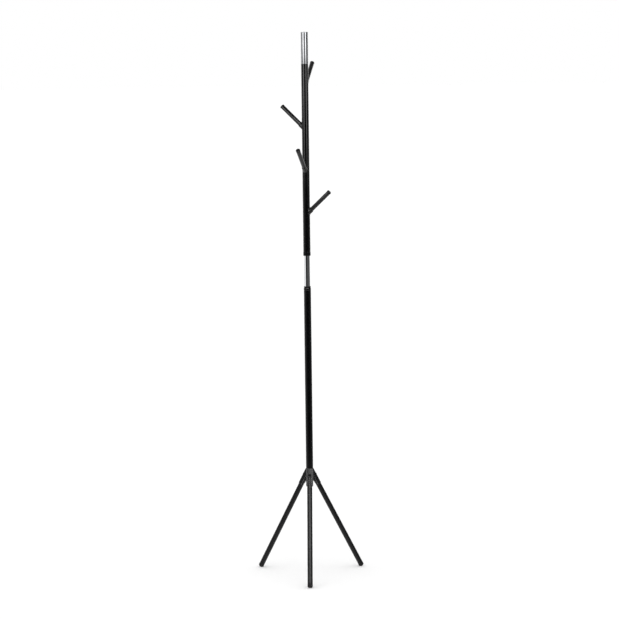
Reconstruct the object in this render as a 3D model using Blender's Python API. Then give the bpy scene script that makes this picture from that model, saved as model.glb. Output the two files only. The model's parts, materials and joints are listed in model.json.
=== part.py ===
"""A standing coat rack: a tripod base, a two-part tubular mast with a bright sliding neck, and four pegs.

Metres, +Z up. The origin is on the floor, in the middle of the footprint.
"""

import math

import bmesh
import bpy
from mathutils import Matrix, Vector

# Clearance between pieces that touch or run in each other.
GAP = 0.0003

# Mast heights above the floor.
TOTAL_HEIGHT = 1.700
HUB_TOP = 0.339
LOWER_TUBE_TOP = 0.902

# Lengths along the mast.
LOCK_RING_HEIGHT = 0.0126
NECK_LENGTH = 0.0953
COLLAR_HEIGHT = 0.0125
TOP_TUBE_HEIGHT = 0.0975
TOP_CAP_HEIGHT = 0.0015

# Mast tubes. The neck slides in a collet inside the lower tube.
MAST_RADIUS = 0.0111
MAST_WALL = 0.0012
COLLET_WALL = 0.0008
NECK_RADIUS = MAST_RADIUS - MAST_WALL - COLLET_WALL - 2 * GAP
NECK_WALL = 0.0012
TOP_STEP = 0.0003
TOP_RADIUS = MAST_RADIUS + TOP_STEP

# Rings round the mast.
LOCK_RING_BULGE = 0.0002
LOCK_RING_LIP = 0.002
LOCK_RING_EDGE = 0.0012
COLLAR_BULGE = 0.0004
COLLAR_EDGE = 0.0020
COLLAR_SLEEVE = 0.030

# What is inside the mast.
COLLET_LENGTH = 0.060
COLLET_SLITS = 2
COLLET_SLIT_WIDTH = 0.0012
COLLET_SLIT_LENGTH = 0.020
GLIDE_LENGTH = 0.020
STOP_RING_HEIGHT = 0.002
END_PLUG_FLANGE = 0.003
END_PLUG_DEPTH = 0.014
SPACER_GAP = 0.0145
SPACER_LENGTH = 0.016
JOINER_LENGTH = 0.060
JOINER_WALL = 0.0022
TOP_PLUG_DEPTH = 0.008
MAST_NUT_HEIGHT = 0.033
STUD_RADIUS = 0.005
STUD_DEPTH_IN_HUB = 0.0125

# Legs: three round tubes on lines that meet on the mast's axis, a little above the hub.
LEG_ANGLES = {"front": -90.0, "right": 30.0, "left": 150.0}
LEG_TILT = 28.73
LEG_APEX_RISE = 0.0032
LEG_APEX = HUB_TOP + LEG_APEX_RISE
LEG_RADIUS = 0.008
LEG_WALL = 0.0012
LEG_SPACING = 0.0034
LEG_PITCH = 2 * (LEG_RADIUS + GAP) + LEG_SPACING
LEG_START = LEG_PITCH / (math.sqrt(3) * math.sin(math.radians(LEG_TILT)))
LEG_INSERT_LENGTH = 0.022
FOOT_OVERHANG = 0.0002
FOOT_RADIUS = LEG_RADIUS + FOOT_OVERHANG
FOOT_HEIGHT = 0.010
FOOT_ROUNDING = 0.0035
FOOT_FLATTENING = 0.0006
FOOT_PLUG = 0.015

# Leg screws, along each leg's outward normal.
SCREW_SETBACK = 0.0065
SCREW_DISTANCE = LEG_START + SCREW_SETBACK
SCREW_RADIUS = 0.0025
SCREW_HEAD_RADIUS = 0.0037
SCREW_HEAD_HEIGHT = 0.0016
SCREW_HEAD_RIM = 0.0005
SCREW_HEAD_FLAT = 0.0020
SCREW_SOCKET_RADIUS = 0.0016
SCREW_SOCKET_DEPTH = 0.0012
SCREW_BITE = 0.0030

# Hub: a short barrel with a saddle for each leg. Saddle heights are across the leg, from its axis.
HUB_RADIUS = MAST_RADIUS - GAP
HUB_BARREL_HEIGHT = 0.046
HUB_BARREL_ROUNDING = 0.0054
SADDLE_CHEEK = 0.0031
SADDLE_HALF_WIDTH = LEG_RADIUS + SADDLE_CHEEK
SADDLE_CREST_DROP = 0.0006
SADDLE_CREST = LEG_RADIUS - SADDLE_CREST_DROP
SADDLE_SHOULDER_DROP = 0.0034
SADDLE_SHOULDER = LEG_RADIUS - SADDLE_SHOULDER_DROP
SADDLE_FLOOR = 0.0015
SADDLE_START = 0.002
SADDLE_FLOOR_LENGTH = 0.025
SADDLE_FLOOR_END = LEG_START + SADDLE_FLOOR_LENGTH
SADDLE_LENGTH = 0.0385
SADDLE_END = LEG_START + SADDLE_LENGTH
SADDLE_ROUNDING = 0.0022
SADDLE_MOUTH_CLEARANCE = 0.0013
SADDLE_MOUTH = SCREW_HEAD_RADIUS + SADDLE_MOUTH_CLEARANCE

# Pegs: a quarter turn apart, evenly spaced down the upper tube.
PEG_COUNT = 4
PEG_TOP_MARGIN = 0.0687
PEG_BOTTOM_MARGIN = 0.1154
PEG_FIRST_ANGLE = 72.5
PEG_TURN = 90.0
PEG_RISE = 43.4
PEG_REACH = 0.105
PEG_RADIUS = 0.0066
PEG_SOCKET_WALL = 0.0014
PEG_SOCKET_RADIUS = PEG_RADIUS + PEG_SOCKET_WALL
PEG_SOCKET_LENGTH = 0.0117
PEG_SOCKET_END = MAST_RADIUS + PEG_SOCKET_LENGTH
PEG_STUD_RADIUS = 0.003
PEG_STUD_BITE = 0.014
PEG_CAP_OVERHANG = 0.0004
PEG_CAP_RADIUS = PEG_RADIUS + PEG_CAP_OVERHANG
PEG_CAP_HEIGHT = 0.005
PEG_CAP_EDGE = 0.0023
PEG_CAP_PLUG = 0.008

# Sides of a full circle, by kind of piece.
FACETS = 32
LEG_FACETS = 24
INNER_FACETS = 24
PEG_FACETS = 20
SMALL_FACETS = 16
SMOOTH_ANGLE = 35.0
WELD = 1e-6


def clear_scene():
    for obj in list(bpy.data.objects):
        bpy.data.objects.remove(obj)


def make_material(name, colour, roughness, metallic):
    material = bpy.data.materials.new(name)
    material.use_nodes = True
    shader = material.node_tree.nodes["Principled BSDF"]
    shader.inputs["Base Color"].default_value = (*colour, 1.0)
    shader.inputs["Roughness"].default_value = roughness
    shader.inputs["Metallic"].default_value = metallic
    material.diffuse_color = (*colour, 1.0)
    return material


def make_empty(name, location, parent=None):
    empty = bpy.data.objects.new(name, None)
    empty.location = location
    empty.parent = parent
    bpy.context.scene.collection.objects.link(empty)
    return empty


def make_object(name, bm, material, parent=None, matrix=None):
    """Turns a bmesh into a named object under its parent."""
    bmesh.ops.remove_doubles(bm, verts=bm.verts, dist=WELD)
    bmesh.ops.dissolve_degenerate(bm, edges=bm.edges, dist=WELD)
    bmesh.ops.recalc_face_normals(bm, faces=bm.faces)
    mesh = bpy.data.meshes.new(name)
    bm.to_mesh(mesh)
    bm.free()
    mesh.shade_smooth()
    mesh.set_sharp_from_angle(angle=math.radians(SMOOTH_ANGLE))
    obj = bpy.data.objects.new(name, mesh)
    obj.data.materials.append(material)
    obj.parent = parent
    if matrix is not None:
        obj.matrix_local = matrix
    bpy.context.scene.collection.objects.link(obj)
    return obj


def turn_profile(outline, facets):
    """Spins (radius, height) points round Z: a ring if no point is on the axis, else a solid."""
    bm = bmesh.new()
    verts = [bm.verts.new((radius, 0.0, height)) for radius, height in outline]
    pairs = list(zip(verts, verts[1:]))
    if min(radius for radius, _ in outline) > 0.0:
        pairs.append((verts[-1], verts[0]))
    edges = [bm.edges.new(pair) for pair in pairs]
    bmesh.ops.spin(
        bm,
        geom=verts + edges,
        cent=(0, 0, 0),
        axis=(0, 0, 1),
        angle=math.tau,
        steps=facets,
        use_merge=True,
    )
    return bm


def tube_outline(outer, inner, low, high):
    return [(inner, high), (outer, high), (outer, low), (inner, low)]


def plug_outline(radius, low, high):
    return [(0.0, high), (radius, high), (radius, low), (0.0, low)]


def arc_points(centre, radius, start, end, steps):
    """Points on an arc of a (radius, height) outline, with angles in degrees."""
    points = []
    for step in range(steps + 1):
        angle = math.radians(start + (end - start) * step / steps)
        points.append((centre[0] + radius * math.cos(angle), centre[1] + radius * math.sin(angle)))
    return points


def hide_cutter(obj):
    obj.hide_render = True
    obj.display_type = "WIRE"


def combine(target, tool, operation, solver="EXACT"):
    """Adds a Boolean modifier, and hides the tool."""
    modifier = target.modifiers.new(operation.title() + " " + tool.name, "BOOLEAN")
    modifier.operation = operation
    modifier.solver = solver
    modifier.object = tool
    hide_cutter(tool)


def tilt_matrix(plan_angle, from_vertical, height):
    """A frame on the mast's axis: its +Z runs out along a leg or peg, its +X to the side that faces down."""
    plan = Matrix.Rotation(math.radians(plan_angle), 4, "Z")
    tilt = Matrix.Rotation(math.radians(from_vertical), 4, "Y")
    return Matrix.Translation((0, 0, height)) @ plan @ tilt


def leg_matrix(plan_angle):
    return tilt_matrix(plan_angle, 180.0 - LEG_TILT, LEG_APEX)


def screw_matrix(plan_angle):
    """A frame on the leg's axis whose +Z points outwards through the leg's upper side."""
    return leg_matrix(plan_angle) @ Matrix.Translation((0, 0, SCREW_DISTANCE)) @ Matrix.Rotation(
        -math.pi / 2, 4, "Y"
    )


def peg_root(index):
    """Height at which a peg's axis meets the mast's axis."""
    highest = TOTAL_HEIGHT - TOP_TUBE_HEIGHT - PEG_TOP_MARGIN
    lowest = upper_tube_bottom() + PEG_BOTTOM_MARGIN
    return highest - index * (highest - lowest) / (PEG_COUNT - 1)


def peg_matrix(index):
    plan_angle = PEG_FIRST_ANGLE + index * PEG_TURN
    return tilt_matrix(plan_angle, 90.0 - PEG_RISE, peg_root(index))


def make_cylinder(name, radius, low, high, facets, parent, matrix):
    bm = turn_profile(plug_outline(radius, low, high), facets)
    return make_object(name, bm, CUTTER, parent, matrix)


def make_box(name, low, high, parent, matrix):
    bm = bmesh.new()
    bmesh.ops.create_cube(bm, size=1.0)
    size = Vector(high) - Vector(low)
    centre = (Vector(high) + Vector(low)) / 2
    bmesh.ops.scale(bm, vec=size, verts=bm.verts)
    bmesh.ops.translate(bm, vec=centre, verts=bm.verts)
    return make_object(name, bm, CUTTER, parent, matrix)


def leg_end():
    """Distance along a leg's axis at which the rounded foot sinks FOOT_FLATTENING into the floor."""
    tilt = math.radians(LEG_TILT)
    rounding_height = LEG_APEX + FOOT_FLATTENING - FOOT_ROUNDING
    rim_drop = (FOOT_RADIUS - FOOT_ROUNDING) * math.sin(tilt)
    return (rounding_height - rim_drop) / math.cos(tilt) + FOOT_ROUNDING


def make_tube(name, outer, inner, low, high, material, parent, facets=FACETS, matrix=None):
    bm = turn_profile(tube_outline(outer, inner, low, high), facets)
    return make_object(name, bm, material, parent, matrix)


def make_saddle(name, parent, matrix):
    """The block that a leg lies in: a loft along the leg's axis, with rounded lower corners."""
    steps = 4
    stations = [(SADDLE_START, SADDLE_HALF_WIDTH)]
    for step in range(steps + 1):
        angle = math.pi / 2 * step / steps
        distance = SADDLE_END - SADDLE_ROUNDING * (1 - math.sin(angle))
        stations.append((distance, SADDLE_HALF_WIDTH - SADDLE_ROUNDING * (1 - math.cos(angle))))
    bm = bmesh.new()
    rings = []
    for distance, half_width in stations:
        section = saddle_section(half_width)
        rings.append([bm.verts.new((x, y, distance)) for x, y in section])
    for ring, following in zip(rings, rings[1:]):
        count = len(ring)
        for i in range(count):
            j = (i + 1) % count
            bm.faces.new((ring[i], ring[j], following[j], following[i]))
    bm.faces.new(rings[0])
    bm.faces.new(rings[-1])
    return make_object(name, bm, CUTTER, parent, matrix)


def saddle_section(half_width):
    """The saddle across the leg: a low arch on the upper side, straight cheeks, a round floor below."""
    points = []
    arch_steps = 6
    for step in range(arch_steps + 1):
        y = half_width * (1 - 2 * step / arch_steps)
        drop = (SADDLE_CREST - SADDLE_SHOULDER) * (y / SADDLE_HALF_WIDTH) ** 2
        points.append((drop - SADDLE_CREST, y))
    floor_radius = LEG_RADIUS + GAP + SADDLE_FLOOR
    points.append((SADDLE_SHOULDER, -half_width))
    floor = arc_points((0.0, 0.0), floor_radius, -60.0, 60.0, 6)
    points.extend(floor)
    points.append((SADDLE_SHOULDER, half_width))
    return points


def make_hub(parent):
    barrel_low = HUB_TOP - HUB_BARREL_HEIGHT
    corner = (HUB_RADIUS - HUB_BARREL_ROUNDING, barrel_low + HUB_BARREL_ROUNDING)
    outline = [(0.0, HUB_TOP + HUB_RADIUS), (HUB_RADIUS, HUB_TOP + HUB_RADIUS)]
    outline += arc_points(corner, HUB_BARREL_ROUNDING, 0.0, -90.0, 4)
    outline.append((0.0, barrel_low))
    hub = make_object("hub", turn_profile(outline, FACETS), SATIN_BLACK, parent)
    reach = SADDLE_END + LEG_RADIUS
    for side, plan_angle in LEG_ANGLES.items():
        combine(hub, make_saddle("saddle_" + side, parent, leg_matrix(plan_angle)), "UNION", "MANIFOLD")
    for side, plan_angle in LEG_ANGLES.items():
        frame = leg_matrix(plan_angle)
        nose_end = LEG_START + LEG_WALL
        nose = make_cylinder("nose_" + side, LEG_RADIUS, 0.0, nose_end, LEG_FACETS, parent, frame)
        combine(hub, nose, "UNION", "MANIFOLD")
    width = 4 * HUB_RADIUS
    above = make_box("above_hub", (-width, -width, HUB_TOP), (width, width, HUB_TOP + width), parent, None)
    combine(hub, above, "DIFFERENCE", "MANIFOLD")
    for side, plan_angle in LEG_ANGLES.items():
        carve_leg_seat(hub, side, parent, leg_matrix(plan_angle), reach)
        hole = make_cylinder(
            "hub_screw_hole_" + side,
            SCREW_RADIUS + GAP,
            -(LEG_RADIUS + GAP + SCREW_BITE + GAP),
            0.0,
            SMALL_FACETS,
            parent,
            screw_matrix(plan_angle),
        )
        combine(hub, hole, "DIFFERENCE", "MANIFOLD")
    stud_hole = make_cylinder(
        "stud_hole",
        STUD_RADIUS + GAP,
        HUB_TOP - STUD_DEPTH_IN_HUB - GAP,
        HUB_TOP + STUD_DEPTH_IN_HUB,
        SMALL_FACETS,
        parent,
        None,
    )
    combine(hub, stud_hole, "DIFFERENCE", "MANIFOLD")
    return hub


def carve_leg_seat(hub, side, parent, frame, reach):
    """Cuts the bore for the leg, the slot over its crest, and the open space under the fingers."""
    start = LEG_START - GAP
    bore = make_cylinder("bore_" + side, LEG_RADIUS + GAP, start, reach, LEG_FACETS, parent, frame)
    combine(hub, bore, "DIFFERENCE", "MANIFOLD")
    mouth_low = (-2 * LEG_RADIUS, -SADDLE_MOUTH, start + GAP)
    mouth_high = (-LEG_RADIUS / 2, SADDLE_MOUTH, reach)
    combine(hub, make_box("mouth_" + side, mouth_low, mouth_high, parent, frame), "DIFFERENCE", "MANIFOLD")
    under_low = (SADDLE_SHOULDER - GAP, -2 * LEG_RADIUS, SADDLE_FLOOR_END)
    under_high = (2 * LEG_RADIUS, 2 * LEG_RADIUS, reach)
    combine(hub, make_box("under_" + side, under_low, under_high, parent, frame), "DIFFERENCE", "MANIFOLD")


def make_leg(side, plan_angle, parent):
    frame = leg_matrix(plan_angle)
    bore = LEG_RADIUS - LEG_WALL
    foot_start = leg_end() - FOOT_HEIGHT
    outline = tube_outline(LEG_RADIUS, bore, LEG_START, foot_start - GAP)
    leg = make_object("leg_" + side, turn_profile(outline, LEG_FACETS), SATIN_BLACK, parent, frame)
    insert_low = LEG_START + GAP
    insert = make_object(
        "leg_insert_" + side,
        turn_profile(plug_outline(bore - GAP, insert_low, insert_low + LEG_INSERT_LENGTH), SMALL_FACETS),
        PLASTIC,
        parent,
        frame,
    )
    for piece in (leg, insert):
        hole = make_cylinder(
            piece.name + "_hole",
            SCREW_RADIUS + GAP,
            -2 * LEG_RADIUS,
            2 * LEG_RADIUS,
            SMALL_FACETS,
            parent,
            screw_matrix(plan_angle),
        )
        combine(piece, hole, "DIFFERENCE")
    make_foot(side, parent, frame, bore - GAP, foot_start)
    make_leg_screw(side, parent, screw_matrix(plan_angle))


def make_foot(side, parent, frame, plug_radius, start):
    """A cap pushed into the leg's end, flat where it rests on the floor."""
    end = start + FOOT_HEIGHT
    corner = (FOOT_RADIUS - FOOT_ROUNDING, end - FOOT_ROUNDING)
    outline = [(0.0, end)]
    outline += arc_points(corner, FOOT_ROUNDING, 90.0, 0.0, 4)
    outline += [(FOOT_RADIUS, start), (plug_radius, start), (plug_radius, start - FOOT_PLUG)]
    outline.append((0.0, start - FOOT_PLUG))
    foot = make_object("foot_" + side, turn_profile(outline, LEG_FACETS), RUBBER, parent, frame)
    spread = leg_end()
    below = make_box("floor_" + side, (-spread, -spread, -spread), (spread, spread, 0.0), parent, None)
    combine(foot, below, "DIFFERENCE")


def make_leg_screw(side, parent, frame):
    """A button-head screw: its head stands on the leg, its tip bites into the hub's floor."""
    seat = LEG_RADIUS + GAP
    tip = -(seat + SCREW_BITE)
    top = seat + SCREW_HEAD_HEIGHT
    outline = [(0.0, top), (SCREW_HEAD_FLAT, top)]
    outline += [(SCREW_HEAD_RADIUS - SCREW_HEAD_RIM, top - SCREW_HEAD_RIM)]
    outline += [(SCREW_HEAD_RADIUS, seat + SCREW_HEAD_RIM), (SCREW_HEAD_RADIUS, seat)]
    outline += [(SCREW_RADIUS, seat), (SCREW_RADIUS, tip), (0.0, tip)]
    screw = make_object("leg_screw_" + side, turn_profile(outline, SMALL_FACETS), STEEL, parent, frame)
    socket = make_cylinder(
        "socket_" + side, SCREW_SOCKET_RADIUS, top - SCREW_SOCKET_DEPTH, top + GAP, 6, parent, frame
    )
    combine(screw, socket, "DIFFERENCE")


def make_lower_mast(parent):
    bore = MAST_RADIUS - MAST_WALL
    bottom = HUB_TOP + GAP
    make_tube("lower_tube", MAST_RADIUS, bore, bottom, LOWER_TUBE_TOP, GLOSS_BLACK, parent)
    nut_top = bottom + MAST_NUT_HEIGHT
    make_tube("mast_nut", bore - GAP, STUD_RADIUS + GAP, bottom, nut_top, STEEL, parent, SMALL_FACETS)
    stud = turn_profile(plug_outline(STUD_RADIUS, HUB_TOP - STUD_DEPTH_IN_HUB, nut_top), SMALL_FACETS)
    make_object("hub_stud", stud, STEEL, parent)
    collet_low = LOWER_TUBE_TOP - COLLET_LENGTH
    collet_high = lock_ring_top() - LOCK_RING_LIP - GAP
    collet = make_tube(
        "lock_collet", bore - GAP, NECK_RADIUS + GAP, collet_low, collet_high, PLASTIC, parent, INNER_FACETS
    )
    for slit in range(COLLET_SLITS):
        turn = Matrix.Rotation(math.pi * slit / COLLET_SLITS, 4, "Z")
        low = (-2 * bore, -COLLET_SLIT_WIDTH / 2, collet_high - COLLET_SLIT_LENGTH)
        high = (2 * bore, COLLET_SLIT_WIDTH / 2, collet_high + GAP)
        cutter = make_box("collet_slit_" + str(slit + 1), low, high, parent, turn)
        combine(collet, cutter, "DIFFERENCE")


def lock_ring_top():
    return LOWER_TUBE_TOP + GAP + LOCK_RING_HEIGHT


def make_lock_ring(parent):
    """A turned ring over the collet, with a lip round the neck tube."""
    low = LOWER_TUBE_TOP + GAP
    high = lock_ring_top()
    outer = MAST_RADIUS + LOCK_RING_BULGE
    edge = LOCK_RING_EDGE
    thread = MAST_RADIUS - MAST_WALL
    throat = NECK_RADIUS + GAP
    outline = [(throat, high)]
    outline += arc_points((outer - edge, high - edge), edge, 90.0, 0.0, 3)
    outline += arc_points((outer - edge / 2, low + edge / 2), edge / 2, 0.0, -90.0, 2)
    outline += [(thread, low), (thread, high - LOCK_RING_LIP), (throat, high - LOCK_RING_LIP)]
    make_object("lock_ring", turn_profile(outline, FACETS), GLOSS_BLACK, parent)


def neck_bottom():
    return LOWER_TUBE_TOP - COLLET_LENGTH - GAP - STOP_RING_HEIGHT - GAP - GLIDE_LENGTH


def make_neck(glide_parent, head_parent):
    """The bright tube, and what guides and stops its lower end."""
    sleeve = MAST_RADIUS - MAST_WALL - GAP
    low = neck_bottom()
    neck_top = collar_bottom() + COLLAR_HEIGHT + COLLAR_SLEEVE + SPACER_GAP + SPACER_LENGTH
    bore = NECK_RADIUS - NECK_WALL
    make_tube("inner_tube", NECK_RADIUS, bore, low, neck_top, CHROME, head_parent)
    glide_top = low + GLIDE_LENGTH
    hole = NECK_RADIUS + GAP
    make_tube("glide_bush", sleeve, hole, low, glide_top, PLASTIC, glide_parent, INNER_FACETS)
    ring_low = glide_top + GAP
    ring_high = ring_low + STOP_RING_HEIGHT
    make_tube("stop_ring", sleeve - GAP, hole, ring_low, ring_high, STEEL, head_parent, INNER_FACETS)
    flange_top = low - GAP
    outline = [(0.0, low + END_PLUG_DEPTH), (bore - GAP, low + END_PLUG_DEPTH), (bore - GAP, flange_top)]
    outline += [(sleeve - GAP, flange_top), (sleeve - GAP, flange_top - END_PLUG_FLANGE)]
    outline.append((0.0, flange_top - END_PLUG_FLANGE))
    make_object("inner_end_plug", turn_profile(outline, INNER_FACETS), PLASTIC, head_parent)
    spacer_low = neck_top - SPACER_LENGTH
    make_tube("spacer_bush", sleeve, hole, spacer_low, neck_top, PLASTIC, head_parent, INNER_FACETS)


def collar_bottom():
    return lock_ring_top() + NECK_LENGTH


def upper_tube_bottom():
    return collar_bottom() + COLLAR_HEIGHT + GAP


def make_collar(parent):
    """The bulging ring under the upper tube, with a sleeve that goes up inside it."""
    low = collar_bottom()
    high = low + COLLAR_HEIGHT
    outer = MAST_RADIUS + COLLAR_BULGE
    edge = COLLAR_EDGE
    sleeve = MAST_RADIUS - MAST_WALL - GAP
    throat = NECK_RADIUS + GAP
    outline = [(throat, high + COLLAR_SLEEVE), (sleeve, high + COLLAR_SLEEVE), (sleeve, high)]
    outline += arc_points((outer - edge / 2, high - edge / 2), edge / 2, 90.0, 0.0, 3)
    outline += arc_points((outer - edge, low + edge), edge, 0.0, -90.0, 4)
    outline.append((throat, low))
    make_object("collar", turn_profile(outline, FACETS), GLOSS_BLACK, parent)


def make_upper_mast(parent):
    bore = MAST_RADIUS - MAST_WALL
    low = upper_tube_bottom()
    joint = TOTAL_HEIGHT - TOP_TUBE_HEIGHT
    make_tube("upper_tube", MAST_RADIUS, bore, low, joint, GLOSS_BLACK, parent)
    half = JOINER_LENGTH / 2
    spigot = bore - GAP
    spigot_bore = spigot - JOINER_WALL
    make_tube("top_joiner", spigot, spigot_bore, joint - half, joint + half, STEEL, parent, INNER_FACETS)
    cap_low = TOTAL_HEIGHT - TOP_CAP_HEIGHT
    make_tube("top_tube", TOP_RADIUS, bore, joint + GAP, cap_low - GAP, CHROME, parent)
    outline = [(0.0, TOTAL_HEIGHT), (TOP_RADIUS - GAP, TOTAL_HEIGHT), (TOP_RADIUS, TOTAL_HEIGHT - GAP)]
    outline += [(TOP_RADIUS, cap_low), (spigot, cap_low), (spigot, cap_low - TOP_PLUG_DEPTH)]
    outline.append((0.0, cap_low - TOP_PLUG_DEPTH))
    make_object("top_cap", turn_profile(outline, FACETS), CHROME, parent)


def make_peg(index, parent):
    """A rod on a ferrule: the ferrule is coped to the mast, and a stud joins the two."""
    frame = peg_matrix(index)
    number = str(index + 1)
    hole = PEG_STUD_RADIUS + GAP
    outline = tube_outline(PEG_SOCKET_RADIUS, hole, 0.0, PEG_SOCKET_END)
    socket = make_object(
        "peg_socket_" + number, turn_profile(outline, PEG_FACETS), GLOSS_BLACK, parent, frame
    )
    mast = make_cylinder(
        "mast_core_" + number,
        MAST_RADIUS + GAP,
        peg_root(index) - 4 * MAST_RADIUS,
        peg_root(index) + 4 * MAST_RADIUS,
        FACETS,
        parent,
        None,
    )
    combine(socket, mast, "DIFFERENCE")
    rod_low = PEG_SOCKET_END + GAP
    rod_high = PEG_REACH - PEG_CAP_HEIGHT - GAP
    rod_outline = [
        (0.0, rod_high - PEG_CAP_PLUG - GAP),
        (hole, rod_high - PEG_CAP_PLUG - GAP),
        (hole, rod_high),
        (PEG_RADIUS, rod_high),
        (PEG_RADIUS, rod_low),
        (hole, rod_low),
        (hole, rod_low + PEG_STUD_BITE + GAP),
        (0.0, rod_low + PEG_STUD_BITE + GAP),
    ]
    make_object("peg_" + number, turn_profile(rod_outline, PEG_FACETS), GLOSS_BLACK, parent, frame)
    rise = math.radians(PEG_RISE)
    stud_low = (MAST_RADIUS + 2 * GAP + PEG_STUD_RADIUS * math.sin(rise)) / math.cos(rise)
    stud = plug_outline(PEG_STUD_RADIUS, stud_low, rod_low + PEG_STUD_BITE)
    make_object("peg_stud_" + number, turn_profile(stud, SMALL_FACETS), STEEL, parent, frame)
    make_peg_cap(number, parent, frame)


def make_peg_cap(number, parent, frame):
    low = PEG_REACH - PEG_CAP_HEIGHT
    edge = PEG_CAP_EDGE
    outline = [(0.0, PEG_REACH)]
    outline += arc_points((PEG_CAP_RADIUS - edge, PEG_REACH - edge), edge, 90.0, 0.0, 3)
    outline += [(PEG_CAP_RADIUS, low), (PEG_STUD_RADIUS, low)]
    outline += [(PEG_STUD_RADIUS, low - PEG_CAP_PLUG), (0.0, low - PEG_CAP_PLUG)]
    make_object("peg_cap_" + number, turn_profile(outline, PEG_FACETS), GLOSS_BLACK, parent, frame)


def centre_footprint(mast_axis):
    """Moves the mast's axis so that the three feet are centred on the origin."""
    bpy.context.view_layer.update()
    graph = bpy.context.evaluated_depsgraph_get()
    depths = []
    for side in LEG_ANGLES:
        foot = bpy.data.objects["foot_" + side].evaluated_get(graph)
        depths += [(foot.matrix_world @ vert.co).y for vert in foot.data.vertices]
    mast_axis.location.y = -(min(depths) + max(depths)) / 2


clear_scene()
CUTTER = make_material("cutter", (0.8, 0.1, 0.1), 0.5, 0.0)
GLOSS_BLACK = make_material("gloss_black", (0.010, 0.010, 0.011), 0.16, 0.0)
SATIN_BLACK = make_material("satin_black", (0.028, 0.028, 0.030), 0.42, 0.0)
CHROME = make_material("chrome", (0.86, 0.87, 0.88), 0.06, 1.0)
STEEL = make_material("steel", (0.10, 0.10, 0.11), 0.35, 1.0)
PLASTIC = make_material("plastic", (0.06, 0.06, 0.06), 0.5, 0.0)
RUBBER = make_material("rubber", (0.015, 0.015, 0.015), 0.75, 0.0)

stand = make_empty("stand_axis", (0.0, 0.0, 0.0))
ring_axis = make_empty("lock_ring_axis", (0.0, 0.0, 0.0), stand)
glide_axis = make_empty("glide_axis", (0.0, 0.0, 0.0), stand)
head_axis = make_empty("head_axis", (0.0, 0.0, 0.0), glide_axis)

make_hub(stand)
for leg_side, leg_angle in LEG_ANGLES.items():
    make_leg(leg_side, leg_angle, stand)
make_lower_mast(stand)
make_lock_ring(ring_axis)
make_neck(glide_axis, head_axis)
make_collar(head_axis)
make_upper_mast(head_axis)
for peg_index in range(PEG_COUNT):
    make_peg(peg_index, head_axis)
centre_footprint(stand)
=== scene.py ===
import json
import math

import bmesh
import bpy
import numpy as np
from mathutils import Matrix, Vector

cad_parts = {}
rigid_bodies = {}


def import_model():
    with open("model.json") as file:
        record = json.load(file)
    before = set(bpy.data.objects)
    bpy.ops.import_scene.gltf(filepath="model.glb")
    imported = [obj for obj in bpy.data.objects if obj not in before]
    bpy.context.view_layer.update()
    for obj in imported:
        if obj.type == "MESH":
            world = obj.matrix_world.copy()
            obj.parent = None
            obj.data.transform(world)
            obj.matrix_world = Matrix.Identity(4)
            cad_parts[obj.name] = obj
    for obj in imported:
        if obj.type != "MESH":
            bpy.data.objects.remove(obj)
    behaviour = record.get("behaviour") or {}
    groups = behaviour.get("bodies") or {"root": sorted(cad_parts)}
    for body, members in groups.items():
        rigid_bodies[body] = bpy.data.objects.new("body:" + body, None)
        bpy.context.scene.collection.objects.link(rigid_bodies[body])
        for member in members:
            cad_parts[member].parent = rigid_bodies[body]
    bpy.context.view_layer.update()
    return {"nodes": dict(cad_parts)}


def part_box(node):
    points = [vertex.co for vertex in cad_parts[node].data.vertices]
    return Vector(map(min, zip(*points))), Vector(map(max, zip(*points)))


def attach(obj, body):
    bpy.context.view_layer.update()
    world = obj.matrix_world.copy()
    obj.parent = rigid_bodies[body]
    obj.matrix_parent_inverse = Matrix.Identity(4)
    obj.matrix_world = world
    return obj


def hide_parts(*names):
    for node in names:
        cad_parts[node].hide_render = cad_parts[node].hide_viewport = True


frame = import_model()
nodes = frame["nodes"]
legSides = ("front", "right", "left")
pegNumbers = ("1", "2", "3", "4")
print("frame: %d nodes" % len(nodes))


def mm(length):
    return length / 1000.0


def linearColour(hexCode):  # an sRGB hex code as the linear colour that shaders take
    channels = [int(hexCode[i:i + 2], 16) / 255 for i in (1, 3, 5)]
    return tuple(c / 12.92 if c <= 0.04045 else ((c + 0.055) / 1.055) ** 2.4 for c in channels) + (1.0,)


# One node with its settings and links. A setting is a socket's value or, failing that, a property.
def addNode(tree, kind, settings=None, links=None):
    node = tree.nodes.new(kind)
    for key, value in (settings or {}).items():
        if isinstance(key, int) or key in node.inputs:
            node.inputs[key].default_value = value
        else:
            setattr(node, key, value)
    for key, socket in (links or {}).items():
        tree.links.new(socket, node.inputs[key])
    return node


endBand = 0.5  # mm: a turned node's points that are this near to its end are that end's


def nodePoints(name):
    points = np.array([vertex.co for vertex in nodes[name].data.vertices])
    return np.unique(np.round(points, 6), axis=0)


def mastAt(height):  # the mast stands upright, so the box of its lower tube gives its axis
    low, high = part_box("lower_tube")
    return Vector(((low.x + high.x) / 2, (low.y + high.y) / 2, height))


def upright(height):
    return Matrix.Translation(mastAt(height))


# A frame on a turned node's axis, with the node's length and radius in mm. Its origin is at the end nearest
# to a point, +Z goes to the other end, and +X is on the lower side.
def axisFrame(name, nearest):
    points = nodePoints(name)
    centre = points.mean(axis=0)
    along = (points - centre) @ np.linalg.svd(points - centre)[2][0]
    ends = []
    for keep in (along < along.min() + mm(endBand), along > along.max() - mm(endBand)):
        ends.append(Vector(points[keep].mean(axis=0)))
    ends.sort(key=lambda end: (end - nearest).length)
    forward = (ends[1] - ends[0]).normalized()
    down = Vector((0, 0, -1))
    lower = (down - down.dot(forward) * forward).normalized()
    matrix = Matrix((lower, forward.cross(lower), forward)).transposed().to_4x4()
    matrix.translation = ends[0]
    spread = np.linalg.norm(np.cross(points - np.array(ends[0]), np.array(forward)), axis=1)
    return matrix, 1000 * (ends[1] - ends[0]).length, 1000 * float(spread.max())


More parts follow.
